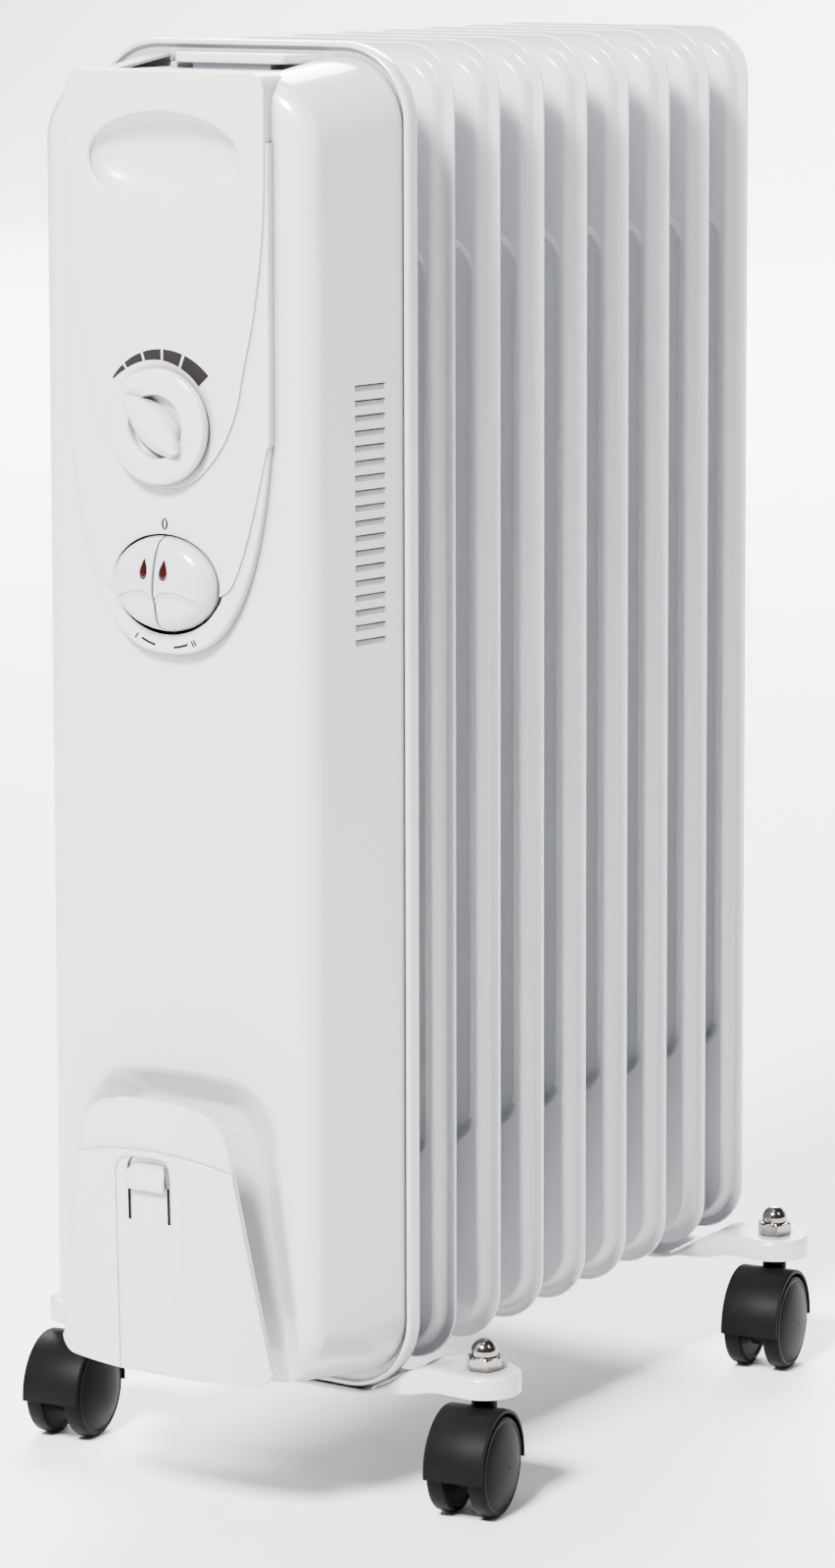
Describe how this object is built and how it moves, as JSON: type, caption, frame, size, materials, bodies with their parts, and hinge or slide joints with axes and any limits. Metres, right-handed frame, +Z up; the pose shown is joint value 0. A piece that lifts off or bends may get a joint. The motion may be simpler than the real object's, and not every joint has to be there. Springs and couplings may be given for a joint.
{
  "type": "oil filled radiator heater",
  "caption": "Free-standing oil filled radiator heater with a stack of pressed fins, a front control panel and twin-wheel castors.",
  "frame": {"origin": "centre of the overall footprint, on the floor under the castors", "axes": "+Z up; the control panel faces -Y; the fins are stacked along +Y; X runs across the width"},
  "size_m": [0.2472, 0.3956, 0.6265],
  "materials": {
    "fin_paint": "gloss cool white enamel",
    "cover_paint": "gloss warm white enamel",
    "panel_plastic": "satin gloss moulded white",
    "button_plastic": "gloss cool white",
    "terminal_plastic": "matt off-white",
    "red_lens": "clear dark red, unlit",
    "black_plastic": "matt black",
    "castor_plastic": "satin black",
    "print": "pad-printed dark grey ink",
    "copper": "dull copper sheath",
    "zinc_steel": "zinc-plated steel",
    "nickel": "bright nickel plate"
  },
  "bodies": {
    "heater": {"fin_1": "fin_paint", "fin_2": "fin_paint", "fin_3": "fin_paint", "fin_4": "fin_paint", "fin_5": "fin_paint", "fin_6": "fin_paint", "fin_7": "fin_paint", "fin_8": "fin_paint", "fin_9": "fin_paint", "header_plugs": "fin_paint", "heating_element": "copper", "element_flange": "zinc_steel", "rim": "cover_paint", "cover": "cover_paint", "control_panel": "panel_plastic", "handle_plate": "panel_plastic", "thermostat_body": "zinc_steel", "switch_block": "black_plastic", "dial_marks": "print", "switch_marks": "print", "thermal_cutout": "zinc_steel", "tilt_switch": "black_plastic", "terminal_block": "terminal_plastic", "cord_panel": "panel_plastic", "cord_gland": "black_plastic", "foot_front": "fin_paint", "foot_rear": "fin_paint", "u_bolts": "zinc_steel", "wing_nuts": "zinc_steel", "dome_nuts": "nickel", "stem_fr": "black_plastic", "stem_fl": "black_plastic", "stem_rr": "black_plastic", "stem_rl": "black_plastic"},
    "thermostat": {"knob": "panel_plastic", "thermostat_shaft": "zinc_steel"},
    "rocker_l": {"rocker_left": "button_plastic", "lens_left": "red_lens"},
    "rocker_r": {"rocker_right": "button_plastic", "lens_right": "red_lens"},
    "clip": {"cord_clip": "panel_plastic"},
    "castor_fr": {"hood_fr": "castor_plastic", "axle_fr": "zinc_steel"},
    "roller_fr_out": {"wheel_fr_out": "castor_plastic"},
    "roller_fr_in": {"wheel_fr_in": "castor_plastic"},
    "castor_fl": {"hood_fl": "castor_plastic", "axle_fl": "zinc_steel"},
    "roller_fl_out": {"wheel_fl_out": "castor_plastic"},
    "roller_fl_in": {"wheel_fl_in": "castor_plastic"},
    "castor_rr": {"hood_rr": "castor_plastic", "axle_rr": "zinc_steel"},
    "roller_rr_out": {"wheel_rr_out": "castor_plastic"},
    "roller_rr_in": {"wheel_rr_in": "castor_plastic"},
    "castor_rl": {"hood_rl": "castor_plastic", "axle_rl": "zinc_steel"},
    "roller_rl_out": {"wheel_rl_out": "castor_plastic"},
    "roller_rl_in": {"wheel_rl_in": "castor_plastic"}
  },
  "joints": [
    {"name": "knob_turn", "type": "hinge", "parent": "heater", "child": "thermostat", "pos_m": [0, -0.17975, 0.468], "axis": [0, 1, 0], "range_deg": [0, 95]},
    {"name": "rocker_left_tilt", "type": "hinge", "parent": "heater", "child": "rocker_l", "pos_m": [0, -0.16925, 0.4], "axis": [1, 0, 0], "range_deg": [0, 8]},
    {"name": "rocker_right_tilt", "type": "hinge", "parent": "heater", "child": "rocker_r", "pos_m": [0, -0.16925, 0.4], "axis": [1, 0, 0], "range_deg": [0, 8]},
    {"name": "clip_flex", "type": "hinge", "parent": "heater", "child": "clip", "pos_m": [0, -0.18825, 0.134], "axis": [1, 0, 0], "range_deg": [0, 8], "stiffness_Nm_per_rad": 0.5},
    {"name": "swivel_fr", "type": "hinge", "parent": "heater", "child": "castor_fr", "pos_m": [0.106, -0.09675, 0.04], "axis": [0, 0, 1], "continuous": true},
    {"name": "spin_fr_out", "type": "hinge", "parent": "castor_fr", "child": "roller_fr_out", "pos_m": [0.1078, -0.10811, 0.0215], "axis": [0.9877, 0.1564, 0], "continuous": true},
    {"name": "spin_fr_in", "type": "hinge", "parent": "castor_fr", "child": "roller_fr_in", "pos_m": [0.1078, -0.10811, 0.0215], "axis": [0.9877, 0.1564, 0], "continuous": true},
    {"name": "swivel_fl", "type": "hinge", "parent": "heater", "child": "castor_fl", "pos_m": [-0.106, -0.09675, 0.04], "axis": [0, 0, 1], "continuous": true},
    {"name": "spin_fl_out", "type": "hinge", "parent": "castor_fl", "child": "roller_fl_out", "pos_m": [-0.1042, -0.10811, 0.0215], "axis": [0.9877, 0.1564, 0], "continuous": true},
    {"name": "spin_fl_in", "type": "hinge", "parent": "castor_fl", "child": "roller_fl_in", "pos_m": [-0.1042, -0.10811, 0.0215], "axis": [0.9877, 0.1564, 0], "continuous": true},
    {"name": "swivel_rr", "type": "hinge", "parent": "heater", "child": "castor_rr", "pos_m": [0.106, 0.16125, 0.04], "axis": [0, 0, 1], "continuous": true},
    {"name": "spin_rr_out", "type": "hinge", "parent": "castor_rr", "child": "roller_rr_out", "pos_m": [0.1078, 0.14989, 0.0215], "axis": [0.9877, 0.1564, 0], "continuous": true},
    {"name": "spin_rr_in", "type": "hinge", "parent": "castor_rr", "child": "roller_rr_in", "pos_m": [0.1078, 0.14989, 0.0215], "axis": [0.9877, 0.1564, 0], "continuous": true},
    {"name": "swivel_rl", "type": "hinge", "parent": "heater", "child": "castor_rl", "pos_m": [-0.106, 0.16125, 0.04], "axis": [0, 0, 1], "continuous": true},
    {"name": "spin_rl_out", "type": "hinge", "parent": "castor_rl", "child": "roller_rl_out", "pos_m": [-0.1042, 0.14989, 0.0215], "axis": [0.9877, 0.1564, 0], "continuous": true},
    {"name": "spin_rl_in", "type": "hinge", "parent": "castor_rl", "child": "roller_rl_in", "pos_m": [-0.1042, 0.14989, 0.0215], "axis": [0.9877, 0.1564, 0], "continuous": true}
  ]
}
